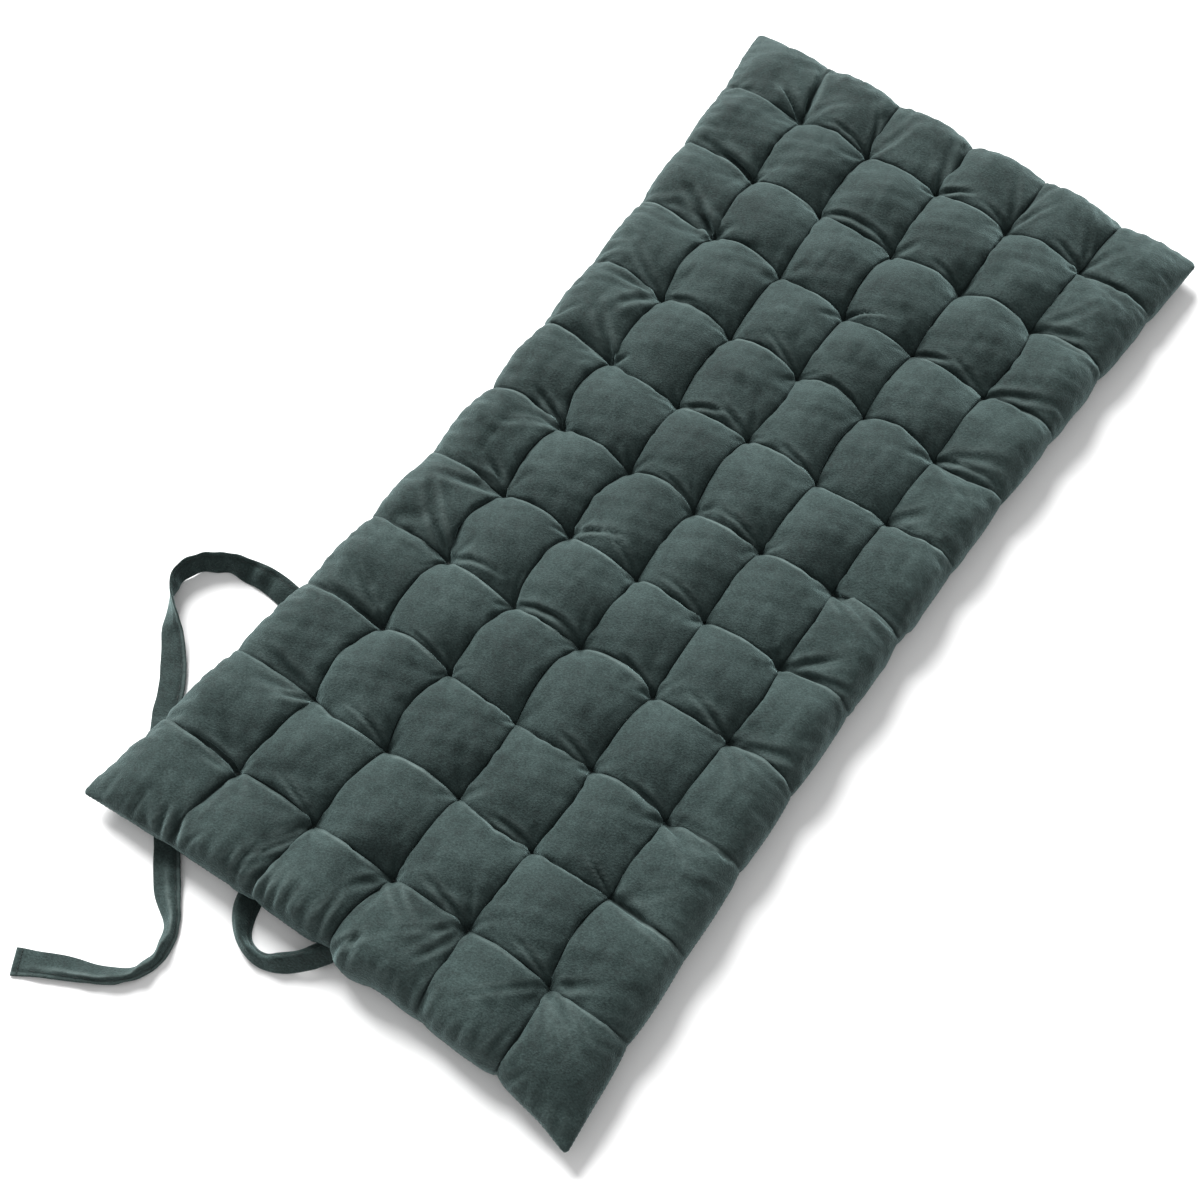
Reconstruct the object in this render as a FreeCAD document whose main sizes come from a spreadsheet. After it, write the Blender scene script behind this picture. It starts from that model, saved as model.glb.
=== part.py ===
import FreeCAD, Part
import Sketcher
import math
import os

# A long quilted seat pad with a tie: two velvet panels seamed all round a knife
# edge, two batts of wadding between them, thread tufts through everything and a
# folded velvet tie sewn into the middle of one short edge.
# Millimetres. +Z is up, the pad lies on z = 0, X is its width, Y its length and
# the tie is at the -Y end. The origin is under the middle of the pad's outline.

doc = FreeCAD.newDocument("quilted_seat_pad")

# ---------------------------------------------------------------- dimensions

DIMENSIONS = [
    ("pad_width", 598, "corner to corner across the pad"),
    ("pad_length", 1216, "corner to corner along the pad"),
    ("seam_height", 20, "height of the edge seam above the floor"),
    ("left_pull", 43, "how far the left side bows in between its corners"),
    ("right_pull", 22, "the same on the right side"),
    ("front_pull", 14, "the same at the tie end"),
    ("back_pull", 6, "the same at the far end"),
    ("crown_height", 63, "top of a cell above the floor"),
    ("tuft_top", 31, "tuft stitch on the upper side, above the floor"),
    ("tuft_bottom", 8, "tuft stitch on the underside, above the floor"),
    ("groove_along", 12, "rise of the groove along the pad between two tufts"),
    ("groove_across", 21, "rise of the groove across the pad between two tufts"),
    ("edge_roll", 55, "width of the rounded rim inside the seam"),
    ("cells_across", 6, "cells from side to side"),
    ("cells_along", 12, "cells from end to end"),
    ("column_pitch", 98, "tuft spacing across, at the corners' width"),
    ("column_shift", 9, "tuft columns off the middle, at the corners' width"),
    ("cloth", 1.2, "thickness of the velvet"),
    ("seam_inset", 1.5, "sewn edge of the two panels, outside the wadding"),
    ("thread", 0.8, "thickness of the sewing thread"),
    ("tuft_thread", 1.5, "thickness of the tufting twine"),
    ("tuft_span", 6, "length of a tuft stitch on the surface"),
    ("dimple_radius", 20, "radius of a dimple on the underside"),
    ("tie_width", 28, "width of the folded tie"),
    ("tie_thickness", 3, "thickness of the folded tie"),
    ("tie_clearance", 1.2, "room above the tie where the pad lies over it"),
    ("topstitch_inset", 3, "topstitching from the edge of the tie"),
    ("hem_inset", 6, "hem stitches from the free end of the tie"),
    ("tack_length", 26, "length of the bar tack at the root of the tie"),
    ("tack_height", 5, "height of the bar tack"),
]

sheet = doc.addObject("Spreadsheet::Sheet", "sizes")
for line, (alias, value, meaning) in enumerate(DIMENSIONS, start=1):
    sheet.set(f"A{line}", meaning)
    sheet.set(f"B{line}", str(value))
    sheet.setAlias(f"B{line}", alias)
doc.recompute()


def size(alias):
    """One driving dimension, as a plain number."""
    return float(sheet.get(alias))


HALF_WIDTH = size("pad_width") / 2
HALF_LENGTH = size("pad_length") / 2
SEAM_Z = size("seam_height")
CLOTH = size("cloth")
CELLS_ACROSS = int(size("cells_across"))
CELLS_ALONG = int(size("cells_along"))

# The tie's middle line from the seam to its free end. It drops to the floor,
# doubles back under the pad, comes out at the left side, passes under the
# corner and lies loose in front.
TIE_REST_Z = size("tie_thickness") / 2
TIE_ROUTE = [
    (4, -592.6, SEAM_Z),
    (-6, -612, 14),
    (-24, -626, 7),
    (-50, -634, 2.5),
    (-76, -626, TIE_REST_Z),
    (-95, -604, TIE_REST_Z),
    (-104, -568, TIE_REST_Z),
    (-111, -523, TIE_REST_Z),
    (-114, -476, TIE_REST_Z),
    (-125, -430, TIE_REST_Z),
    (-148, -388, TIE_REST_Z),
    (-180, -352, TIE_REST_Z),
    (-220, -326, TIE_REST_Z),
    (-266, -314, TIE_REST_Z),
    (-314, -313, TIE_REST_Z),
    (-360, -316, TIE_REST_Z),
    (-388, -336, TIE_REST_Z),
    (-391, -368, TIE_REST_Z),
    (-372, -398, TIE_REST_Z),
    (-343, -426, TIE_REST_Z),
    (-313, -460, TIE_REST_Z),
    (-291, -498, TIE_REST_Z),
    (-260, -533, TIE_REST_Z),
    (-225, -565, TIE_REST_Z),
    (-195, -602, TIE_REST_Z),
    (-167, -633, TIE_REST_Z),
    (-138, -655, TIE_REST_Z),
    (-125, -684, TIE_REST_Z),
    (-135, -713, TIE_REST_Z),
    (-162, -734, TIE_REST_Z),
    (-203, -750, TIE_REST_Z),
    (-242, -771, TIE_REST_Z),
]
FIRST_ON_FLOOR = 4  # the first point of the route that lies on the floor

# ------------------------------------------------------------- pad geometry

SPANS_PER_CELL = 6
DEGREE = 3


def across(u, v):
    """X of the pad's net, with u and v running from -1 to 1 between the seams."""
    bow = 1 - v * v
    left = -HALF_WIDTH + size("left_pull") * bow
    right = HALF_WIDTH - size("right_pull") * bow
    return (left + right) / 2 + u * (right - left) / 2


def along(u, v):
    """Y of the pad's net. The bow of the two ends fades out within a few rows."""
    pull = size("front_pull") if v < 0 else size("back_pull")
    return v * HALF_LENGTH - math.copysign(pull * (1 - u * u) * v**8, v)


def column_u(i):
    """Where the i-th line of tufts along the pad runs, or the seam at its ends."""
    if i in (0, CELLS_ACROSS):
        return -1.0 if i == 0 else 1.0
    from_middle = size("column_shift") + (i - CELLS_ACROSS / 2) * size("column_pitch")
    return from_middle / HALF_WIDTH


def row_v(j):
    """Where the j-th row of tufts runs."""
    return -1 + 2 * j / CELLS_ALONG


def between(line, position):
    """The net coordinate at a fractional cell position, given its cell lines."""
    before, after = line(math.floor(position)), line(math.ceil(position))
    return before + (position - math.floor(position)) * (after - before)


def rim(u, v):
    """0 at the seam, rising like a quarter circle to 1 where the rim ends."""
    rise = 1.0
    for gap in ((1 - abs(u)) * HALF_WIDTH, (1 - abs(v)) * HALF_LENGTH):
        short = 1 - min(gap / size("edge_roll"), 1)
        rise *= math.sqrt(1 - short * short)
    return rise


def cell_rise(position_u, position_v):
    """Height of the quilting above its tufts, from fractional cell positions."""
    crown = size("crown_height") - size("tuft_top")
    a = abs(math.sin(math.pi * position_u))
    b = abs(math.sin(math.pi * position_v))
    return (
        crown * (a * b) ** 0.7
        + size("groove_along") * b**0.8 * (1 - a**0.7)
        + size("groove_across") * a**0.8 * (1 - b**0.7)
    )


# The smooth net rounds each tuft's point off, so its pole goes this much lower.
TUFT_SHARPNESS = 14


def upper_height(position_u, position_v, u, v):
    """Rise of the quilted upper side above the seam."""
    at_tuft = position_u == int(position_u) and position_v == int(position_v)
    tuft = size("tuft_top") - SEAM_Z - (TUFT_SHARPNESS if at_tuft else 0)
    return rim(u, v) * (tuft + cell_rise(position_u, position_v))


UNDERSIDE_DIP = 1.5  # the plain underside dips this far below the floor, to be cut flat


def lower_height(position_u, position_v, u, v):
    """Drop of the plain underside below the seam."""
    return -rim(u, v) * (SEAM_Z + UNDERSIDE_DIP)


def greville(spans):
    """Positions of a clamped cubic's poles, in spans."""
    return [0, 1 / 3, *range(1, spans), spans - 1 / 3, spans]


def net_surface(height, inset):
    """One side of the pad as a smooth surface, its seam edge at the seam's height.
    inset is 0 on the outside, and 1 on the inside of the cloth."""
    spans = CELLS_ACROSS * SPANS_PER_CELL, CELLS_ALONG * SPANS_PER_CELL
    shrink_x = 1 - inset * size("seam_inset") / HALF_WIDTH
    shrink_y = 1 - inset * size("seam_inset") / HALF_LENGTH
    poles = []
    for p in greville(spans[0]):
        strip = []
        for q in greville(spans[1]):
            place_u, place_v = p / SPANS_PER_CELL, q / SPANS_PER_CELL
            u, v = between(column_u, place_u), between(row_v, place_v)
            rise = height(place_u, place_v, u, v)
            cloth = inset * CLOTH * min(1, abs(rise) / 4)
            rise -= math.copysign(cloth, rise)
            strip.append(
                FreeCAD.Vector(
                    across(u, v) * shrink_x, along(u, v) * shrink_y, SEAM_Z + rise
                )
            )
        poles.append(strip)
    knots = [list(range(n + 1)) for n in spans]
    repeats = [[DEGREE + 1] + [1] * (n - 1) + [DEGREE + 1] for n in spans]
    surface = Part.BSplineSurface()
    surface.buildFromPolesMultsKnots(
        poles, *repeats, *knots, False, False, DEGREE, DEGREE
    )
    return surface


def half_pad(height, inset):
    """The solid between one side of the pad and the level plane of its seam."""
    skin = net_surface(height, inset).toShape()
    level = Part.Face(Part.Wire(Part.__sortEdges__(skin.Edges)))
    shell = Part.makeShell([skin, level])
    shell.sewShape()
    solid = Part.Solid(shell.Shells[0])
    if solid.Volume < 0:
        solid.reverse()
    return solid


def feature(name, shape):
    """A document object that holds a shape made here."""
    made = doc.addObject("Part::Feature", name)
    made.Shape = shape
    return made


def cut(name, base, tool):
    """base with tool taken away, as a boolean of the document."""
    made = doc.addObject("Part::Cut", name)
    made.Base = base
    made.Tool = tool
    return made


# ---------------------------------------------------------------- tie sweeps


def rounded_path(points):
    """(wire, radii, length): the straight runs of a route joined by tangent arcs,
    each as large as its two runs allow."""
    corners = [FreeCAD.Vector(*p) for p in points]
    edges, radii, start = [], [], corners[0]
    for before, corner, after in zip(corners, corners[1:], corners[2:]):
        back, forth = before - corner, after - corner
        reach = 0.45 * min(back.Length, forth.Length)
        turn = math.pi - back.getAngle(forth)
        radii.append(reach / math.tan(turn / 2))
        enter = corner + back.normalize() * reach
        leave = corner + forth.normalize() * reach
        inward = (back + forth).normalize()
        middle = corner + inward * radii[-1] * (1 / math.cos(turn / 2) - 1)
        edges.append(Part.LineSegment(start, enter).toShape())
        edges.append(Part.Arc(enter, middle, leave).toShape())
        start = leave
    edges.append(Part.LineSegment(start, corners[-1]).toShape())
    return Part.Wire(edges), radii, sum(e.Length for e in edges)


def sweep_level(wire, left, right, low, high):
    """A rectangle kept level along a path, between two offsets across the path and
    two heights from it."""
    first = wire.Edges[0]
    start, heading = first.valueAt(first.FirstParameter), first.tangentAt(first.FirstParameter)
    up = FreeCAD.Vector(0, 0, 1)
    side = up.cross(heading).normalize()
    corners = [
        start + side * a + up * b
        for a, b in ((left, low), (right, low), (right, high), (left, high))
    ]
    sweep = Part.BRepOffsetAPI.MakePipeShell(wire)
    sweep.setBiNormalMode(up)
    sweep.setTransitionMode(1)
    sweep.add(Part.makePolygon([*corners, corners[0]]))
    sweep.build()
    sweep.makeSolid()
    return sweep.shape()


def band(points, left, right, low, high):
    """A level band along a route of points."""
    return sweep_level(rounded_path(points)[0], left, right, low, high)


# ------------------------------------------------------- covers and wadding

ROUTE_UNDER_PAD = TIE_ROUTE[FIRST_ON_FLOOR:-4]


def dimples(spread):
    """The hollows that the tufts draw into the underside, spread wider by the cloth
    for the wadding."""
    radius, rise = size("dimple_radius"), size("tuft_bottom")
    cones = []
    for i in range(1, CELLS_ACROSS):
        for j in range(1, CELLS_ALONG):
            u, v = column_u(i), row_v(j)
            foot = FreeCAD.Vector(across(u, v), along(u, v), -1 + spread)
            slope = radius / rise
            wide, narrow = radius + slope, size("tuft_span") / 2
            cones.append(
                Part.makeCone(wide + spread, narrow + spread, rise + 1, foot)
            )
    return Part.makeCompound(cones)


def tie_channel(spread):
    """The room that the underside leaves over the tie."""
    half = size("tie_width") / 2 + size("tie_clearance") + spread
    top = TIE_REST_Z + size("tie_clearance") + spread
    return band(ROUTE_UNDER_PAD, -half, half, -TIE_REST_Z - 1, top)


def floor_slab(name, top):
    """A slab that cuts the underside level at the given height."""
    slab = doc.addObject("Part::Box", name)
    slab.setExpression("Length", "sizes.pad_width + 100")
    slab.setExpression("Width", "sizes.pad_length + 100")
    slab.setExpression("Height", "sizes.seam_height / 2")
    slab.setExpression("Placement.Base.x", "-sizes.pad_width / 2 - 50")
    slab.setExpression("Placement.Base.y", "-sizes.pad_length / 2 - 50")
    slab.setExpression("Placement.Base.z", f"{top} - sizes.seam_height / 2")
    return slab


def lower_half(name, inset, floor_name, floor_top):
    """The underside: cut level where it rests, hollowed at the tufts and over the tie."""
    plain = feature(f"{name}_plain", half_pad(lower_height, inset))
    level = cut(f"{name}_level", plain, floor_slab(floor_name, floor_top))
    hollows = doc.addObject("Part::Compound", f"{name}_hollows")
    hollows.Links = [
        feature(f"{name}_dimples", dimples(inset * CLOTH)),
        feature(f"{name}_tie_channel", tie_channel(inset * CLOTH)),
    ]
    return cut(name, level, hollows)


wadding_upper = feature("wadding_upper", half_pad(upper_height, 1))
cover_top = cut("cover_top", feature("upper_outside", half_pad(upper_height, 0)), wadding_upper)
wadding_lower = lower_half("wadding_lower", 1, "floor_of_wadding", "sizes.cloth")
cover_bottom = cut(
    "cover_bottom", lower_half("lower_outside", 0, "floor_of_pad", "0"), wadding_lower
)

# ------------------------------------------------------------ seam and tufts


def seam_line():
    """The closed line of the edge seam: an inward bow along each side."""
    inset = size("seam_inset") / 2
    wide, long = HALF_WIDTH - inset, HALF_LENGTH - inset
    corners = [(-wide, long), (-wide, -long), (wide, -long), (wide, long)]
    middles = [
        (-wide + size("left_pull"), 0),
        (0, -long + size("front_pull")),
        (wide - size("right_pull"), 0),
        (0, long - size("back_pull")),
    ]
    sides = zip(corners, middles, corners[1:] + corners[:1])
    return Part.Wire(
        [
            Part.Arc(*(FreeCAD.Vector(x, y, SEAM_Z) for x, y in side)).toShape()
            for side in sides
        ]
    )


STITCH = size("thread") / 2
seam_thread = feature(
    "seam_thread", sweep_level(seam_line(), -STITCH, STITCH, -STITCH, STITCH)
)


def origin_feature(body, role):
    """One of a body's own origin planes or axes."""
    return next(f for f in body.Origin.OriginFeatures if f.Role == role)


def new_sketch(body, name, plane):
    """An empty sketch on one of the body's own origin planes."""
    sketch = body.newObject("Sketcher::SketchObject", name)
    sketch.AttachmentSupport = [(origin_feature(body, plane), "")]
    sketch.MapMode = "FlatFace"
    return sketch


def add_rectangle(sketch, name, wide, low, tall):
    """A rectangle centred on the sketch's vertical axis, its sizes bound to the sheet."""
    corners = [(-1, 1), (1, 1), (1, 2), (-1, 2)]
    points = [FreeCAD.Vector(x, y, 0) for x, y in corners]
    sides = [
        sketch.addGeometry(Part.LineSegment(a, b), False)
        for a, b in zip(points, points[1:] + points[:1])
    ]
    bottom, right, top, left = sides
    joined = zip(sides, sides[1:] + sides[:1])
    rules = [Sketcher.Constraint("Coincident", a, 2, b, 1) for a, b in joined]
    rules.append(Sketcher.Constraint("Horizontal", top))
    rules += [Sketcher.Constraint("Vertical", i) for i in (left, right)]
    rules.append(Sketcher.Constraint("Symmetric", bottom, 1, bottom, 2, -2))
    sketch.addConstraint(rules)
    for label, kind, ends, binding in (
        ("wide", "DistanceX", (bottom, 1, bottom, 2), wide),
        ("low", "DistanceY", (-1, 1, bottom, 1), low),
        ("tall", "DistanceY", (right, 1, right, 2), tall),
    ):
        rule = sketch.addConstraint(Sketcher.Constraint(kind, *ends, 1.0))
        sketch.renameConstraint(rule, f"{name}_{label}")
        sketch.setExpression(f"Constraints.{name}_{label}", binding)


def padded(body, sketch, name, thickness):
    """A pad of the sketch, half its thickness to each side."""
    pad = body.newObject("PartDesign::Pad", name)
    pad.Profile = sketch
    pad.Midplane = True
    pad.setExpression("Length", thickness)
    return pad


def tuft_row(j):
    """One row of tufts: loops of twine through the whole pad, drawn tight."""
    name = f"tuft_row_{j:02d}"
    body = doc.addObject("PartDesign::Body", name)
    body.AllowCompound = True
    sketch = new_sketch(body, f"{name}_loop", "XZ_Plane")
    twine, depth = "sizes.tuft_thread", "(sizes.tuft_top - sizes.tuft_bottom)"
    add_rectangle(sketch, "inside", "sizes.tuft_span", "sizes.tuft_bottom", depth)
    add_rectangle(
        sketch,
        "outside",
        f"sizes.tuft_span + 2 * {twine}",
        f"sizes.tuft_bottom - {twine}",
        f"{depth} + 2 * {twine}",
    )
    loop = padded(body, sketch, f"{name}_twine", twine)
    first, last = across(column_u(1), row_v(j)), across(column_u(CELLS_ACROSS - 1), row_v(j))
    row = body.newObject("PartDesign::LinearPattern", f"{name}_tufts")
    row.Originals = [loop]
    row.Direction = (origin_feature(body, "X_Axis"), [""])
    row.Length = last - first
    row.setExpression("Occurrences", "sizes.cells_across - 1")
    body.Tip = row
    body.Placement.Base = FreeCAD.Vector(first, along(0, row_v(j)), 0)
    return body


tuft_rows = [tuft_row(j) for j in range(1, CELLS_ALONG)]

# ----------------------------------------------------------------------- tie

TIE_HALF = size("tie_width") / 2
TIE_FACE = size("tie_thickness") / 2
STITCH_AT = TIE_HALF - size("topstitch_inset")

tie_strap = feature("tie_strap", band(TIE_ROUTE, -TIE_HALF, TIE_HALF, -TIE_FACE, TIE_FACE))
tie_topstitch = feature(
    "tie_topstitch",
    band(TIE_ROUTE, STITCH_AT - STITCH, STITCH_AT + STITCH, TIE_FACE, TIE_FACE + STITCH),
)


def stitch_bar(name, long, broad, run, distance):
    """A bar of stitches across the tie, on its upper face, at a distance from the
    first point of one of its straight runs."""
    start, end = (FreeCAD.Vector(*p) for p in run)
    heading = (end - start).normalize()
    body = doc.addObject("PartDesign::Body", name)
    sketch = new_sketch(body, f"{name}_outline", "XY_Plane")
    add_rectangle(sketch, "bar", long, "0", broad)
    padded(body, sketch, f"{name}_thread", "sizes.thread")
    side = heading.cross(FreeCAD.Vector(0, 0, 1))
    facing = FreeCAD.Rotation(side, heading, FreeCAD.Vector(), "XYZ")
    lift = facing.multVec(FreeCAD.Vector(0, 0, TIE_FACE + STITCH))
    body.Placement = FreeCAD.Placement(start + heading * distance + lift, facing)
    return body


tie_anchor_tack = stitch_bar(
    "tie_anchor_tack", "sizes.tack_length", "sizes.tack_height", TIE_ROUTE[:2], 6
)
tie_end_hem = stitch_bar(
    "tie_end_hem",
    "sizes.tie_width - sizes.topstitch_inset",
    "sizes.thread",
    TIE_ROUTE[:-3:-1],
    size("hem_inset"),
)

# -------------------------------------------------------------------- output

NODES = [
    cover_top,
    cover_bottom,
    wadding_upper,
    wadding_lower,
    seam_thread,
    *tuft_rows,
    tie_strap,
    tie_topstitch,
    tie_anchor_tack,
    tie_end_hem,
]

doc.recompute()
for made in doc.Objects:
    if {"Invalid", "Error"} & set(made.State):
        raise RuntimeError(f"{made.Name} is {made.State}")
for node in NODES:
    if node.Shape.isNull() or not node.Shape.isValid():
        raise RuntimeError(f"{node.Label} has no valid shape")

_, radii, length = rounded_path(TIE_ROUTE)
section = size("tie_width") * size("tie_thickness")
print(f"tie: {length:.0f} mm long, arc radii {[round(r) for r in radii]} mm")
print(f"tie: volume over section times length {tie_strap.Shape.Volume / section / length:.4f}")

os.makedirs("parts", exist_ok=True)
for node in NODES:
    node.Shape.exportStep(f"parts/{node.Label}.step")
    print(f"{node.Label}: {len(node.Shape.Solids)} solids, {node.Shape.Volume:.0f} mm3")
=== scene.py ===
import math
import bpy
import numpy as np
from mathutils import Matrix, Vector


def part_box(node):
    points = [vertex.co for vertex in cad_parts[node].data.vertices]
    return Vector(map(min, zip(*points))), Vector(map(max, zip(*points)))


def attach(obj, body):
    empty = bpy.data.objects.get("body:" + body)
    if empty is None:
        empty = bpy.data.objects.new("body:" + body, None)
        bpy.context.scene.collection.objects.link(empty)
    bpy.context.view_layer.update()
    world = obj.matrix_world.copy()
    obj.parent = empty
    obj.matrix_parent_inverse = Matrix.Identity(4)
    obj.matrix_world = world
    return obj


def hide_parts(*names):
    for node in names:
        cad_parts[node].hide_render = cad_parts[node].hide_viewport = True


# A long quilted velvet seat pad with a velvet tie, in metres, in the frame of the CAD
# model: +Z up, the pad on z = 0, X its width, Y its length and the tie at the -Y end.

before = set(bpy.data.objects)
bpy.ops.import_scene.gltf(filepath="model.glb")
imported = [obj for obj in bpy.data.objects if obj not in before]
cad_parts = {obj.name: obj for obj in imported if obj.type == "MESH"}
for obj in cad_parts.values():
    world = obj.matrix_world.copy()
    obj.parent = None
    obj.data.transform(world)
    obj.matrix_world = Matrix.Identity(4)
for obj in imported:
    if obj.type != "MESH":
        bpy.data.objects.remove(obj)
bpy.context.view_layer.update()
scene = bpy.context.scene
rng = np.random.default_rng(7)

# ------------------------------------------------------------------ camera

AZIMUTH, ELEVATION = math.radians(35.53), math.radians(62.59)
LOOK_AT = Vector((-0.0026, -0.1387, 0.030))
DISTANCE = 2.079
BACK = Vector(
    (
        math.sin(AZIMUTH) * math.cos(ELEVATION),
        -math.cos(AZIMUTH) * math.cos(ELEVATION),
        math.sin(ELEVATION),
    )
)

camera = bpy.data.objects.new("camera", bpy.data.cameras.new("camera"))
scene.collection.objects.link(camera)
camera.data.sensor_width = 36
camera.data.lens = 60.46
camera.location = LOOK_AT + BACK * DISTANCE
camera.rotation_mode = "QUATERNION"
camera.rotation_quaternion = (-BACK).to_track_quat("-Z", "Y")
scene.camera = camera

# --------------------------------------------------------------- tie's route

TIE_WIDTH = 0.028
TIE_THICKNESS = 0.003
REST = TIE_THICKNESS / 2
SEAM_Z = 0.020
TIE_ROUTE = [
    (0.010, -0.580, SEAM_Z),
    (-0.004, -0.607, 0.015),
    (-0.024, -0.626, 0.011),
    (-0.050, -0.634, 0.009),
    (-0.075, -0.626, 0.0075),
    (-0.093, -0.604, 0.005),
    (-0.104, -0.568, REST),
    (-0.111, -0.523, REST),
    (-0.114, -0.476, REST),
    (-0.125, -0.430, REST),
    (-0.148, -0.388, REST),
    (-0.180, -0.352, REST),
    (-0.220, -0.326, REST),
    (-0.266, -0.314, REST),
    (-0.314, -0.313, 0.003),
    (-0.352, -0.322, 0.012),
    (-0.378, -0.342, 0.015),
    (-0.387, -0.370, 0.014),
    (-0.366, -0.399, 0.009),
    (-0.340, -0.425, 0.004),
    (-0.311, -0.459, REST),
    (-0.291, -0.498, REST),
    (-0.260, -0.533, REST),
    (-0.225, -0.565, REST),
    (-0.195, -0.602, REST),
    (-0.167, -0.633, REST),
    (-0.138, -0.655, 0.0075),
    (-0.125, -0.684, 0.0085),
    (-0.135, -0.713, 0.008),
    (-0.162, -0.734, 0.006),
    (-0.203, -0.750, 0.0035),
    (-0.242, -0.771, REST),
]
# How far the tie is turned over at each point of its route, in degrees: 90 is on edge.
TIE_ROLL = [180] * 13 + [172, 142, 115, 105, 97, 62, 18, 4, 0, 0, 0, 6, 15, 12, 10, 8, 8, 5, 0]
# How steeply the plain half and the topstitched half fall from a ridge there, in degrees,
# and where the ridge is, from -1 at the plain edge to 1 at the stitched one.
PLAIN_FALL = [48, 52, 56, 60, 58, 34, 0] + [0] * 7 + [6, 12, 14, 8]
PLAIN_FALL += [0, 0, 0, 0, 0, 0, 0, 14, 50, 58, 48, 34, 18, 0]
STITCHED_FALL = [20, 24, 28, 56, 60, 34, 0, 0] + [0] * 6 + [6, 12, 14, 8]
STITCHED_FALL += [0, 0, 0, 0, 0, 0, 0, 24, 62, 68, 68, 60, 34, 0]
RIDGE = [0.1, 0.4, 0.4, 0.1, -0.35, -0.55, -0.3, 0.0] + [0.0] * 18
RIDGE += [-0.1, -0.25, 0.0, 0.25, 0.4, 0.5]
TIE_STEP = 0.0022


def evenly(step, line, *others):
    """Distances along a line at even steps, and there its places and the other values."""
    run = np.concatenate([[0], np.cumsum(np.linalg.norm(np.diff(line, axis=0), axis=1))])
    even = np.linspace(0, run[-1], round(run[-1] / step) + 1)
    return even, *(
        np.stack([np.interp(even, run, values[:, i]) for i in range(3)], 1)
        for values in (line, *others)
    )


def nurbs_line(route):
    """The points of a smooth curve that has the route's points as its control points."""
    curve = bpy.data.curves.new("route", "CURVE")
    curve.dimensions = "3D"
    curve.resolution_u = 24
    spline = curve.splines.new("NURBS")
    spline.points.add(len(route) - 1)
    for point, place in zip(spline.points, route):
        point.co = (*place, 1)
    spline.order_u = 3
    spline.use_endpoint_u = True
    holder = bpy.data.objects.new("route", curve)
    scene.collection.objects.link(holder)
    mesh = bpy.data.meshes.new_from_object(holder)
    line = np.array([v.co for v in mesh.vertices])
    bpy.data.objects.remove(holder)
    bpy.data.curves.remove(curve)
    bpy.data.meshes.remove(mesh)
    return line


tie_run, tie_line = evenly(TIE_STEP, nurbs_line(TIE_ROUTE))

# ---------------------------------------------------------------------- pad

CELLS_X, CELLS_Y = 6, 12
# Mesh steps to a cell above and below, and how much they crowd at the creases.
TOP_STEPS, LOW_STEPS = 32, 16
CREASE_CROWDING = 0.4
pad_low, pad_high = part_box("cover_top")
HALF_WIDTH = (pad_high.x - pad_low.x) / 2
HALF_LENGTH = (pad_high.y - pad_low.y) / 2
COLUMN_PITCH, COLUMN_SHIFT = 0.098, 0.007
ROW_PITCH, ROW_SHIFT = 0.101, 0.0035

# How far each side bows in between its corners, and how sharply its ends turn out.
LEFT_PULL, RIGHT_PULL, FRONT_PULL, BACK_PULL = 0.043, 0.022, 0.013, 0.003
END_SHARPNESS = 16
# How far the seam is drawn in at each line of tufts, from the left or from the front.
FRONT_NOTCHES = [0, 0.001, 0.003, 0.010, 0.003, 0.008, 0]
BACK_NOTCHES = [0, 0.003, 0.009, 0.008, 0.003, 0.008, 0]
LEFT_NOTCHES = [0, 0.002, 0.005, 0.003, 0.007, 0.002, 0.009, 0.005, 0.003, 0.006, 0.003, 0.004, 0]
RIGHT_NOTCHES = [0, 0.004, 0.002, 0.004, 0.003, 0.003, 0.005, 0.002, 0.004, 0.003, 0.005, 0.003, 0]
# The tie's root pushes the front seam out here, in cells and metres.
ROOT_PLACE, ROOT_SPREAD, ROOT_BULGE = 3.2, 0.22, 0.009
CORNER_RADIUS = 0.008
# How far the front right corner is pulled out, and how near to it that shows.
LONG_CORNER, LONG_CORNER_REACH = (0.002, -0.008), 0.030

# Heights above the floor of the tufts' stitches, and the quilting's rise above them.
TUFT_TOP, TUFT_BOTTOM = 0.027, 0.009
CREASE_FLOOR = 0.0170
SHOULDER_HEIGHT, SHOULDER_WIDTH = 0.008, 0.017
DOME = 0.006
# The underside's creases are this share as high.
UNDER_SLACK = 0.22
# The rounded rim inside the seam, wider at the corners.
RIM_WIDTH, CORNER_THINNING, CORNER_REACH = 0.046, 0.050, 0.080
# Lumps in the wadding, each a height and a wavelength, and how high the quilting is where
# they are full.
LUMPS = ((0.0012, 0.05), (0.0006, 0.022))
LUMPY_ABOVE = 0.012
# The underside starts no lower than this, before its weight flattens it.
SINKING = -0.003


def column_u(i):
    """The place across, from -1 to 1, of a column of tufts or a side seam."""
    inner = (COLUMN_SHIFT + (i - CELLS_X / 2) * COLUMN_PITCH) / HALF_WIDTH
    return np.where(i <= 0, -1.0, np.where(i >= CELLS_X, 1.0, inner))


def row_v(j):
    """The place along, from -1 to 1, of a row of tufts or an end seam."""
    inner = (ROW_SHIFT + (j - CELLS_Y / 2) * ROW_PITCH) / HALF_LENGTH
    return np.where(j <= 0, -1.0, np.where(j >= CELLS_Y, 1.0, inner))


def between(line, position):
    """The place of a position in cells, between the lines before and after it."""
    before = np.floor(position)
    low, high = line(before), line(np.ceil(position))
    return low + (position - before) * (high - low)


def places(cells, steps):
    """Places of the mesh lines across the pad, in cells, closer together at the creases."""
    even = np.arange(cells * steps + 1) / steps
    return even - CREASE_CROWDING * np.sin(2 * math.pi * even) / (2 * math.pi)


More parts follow.
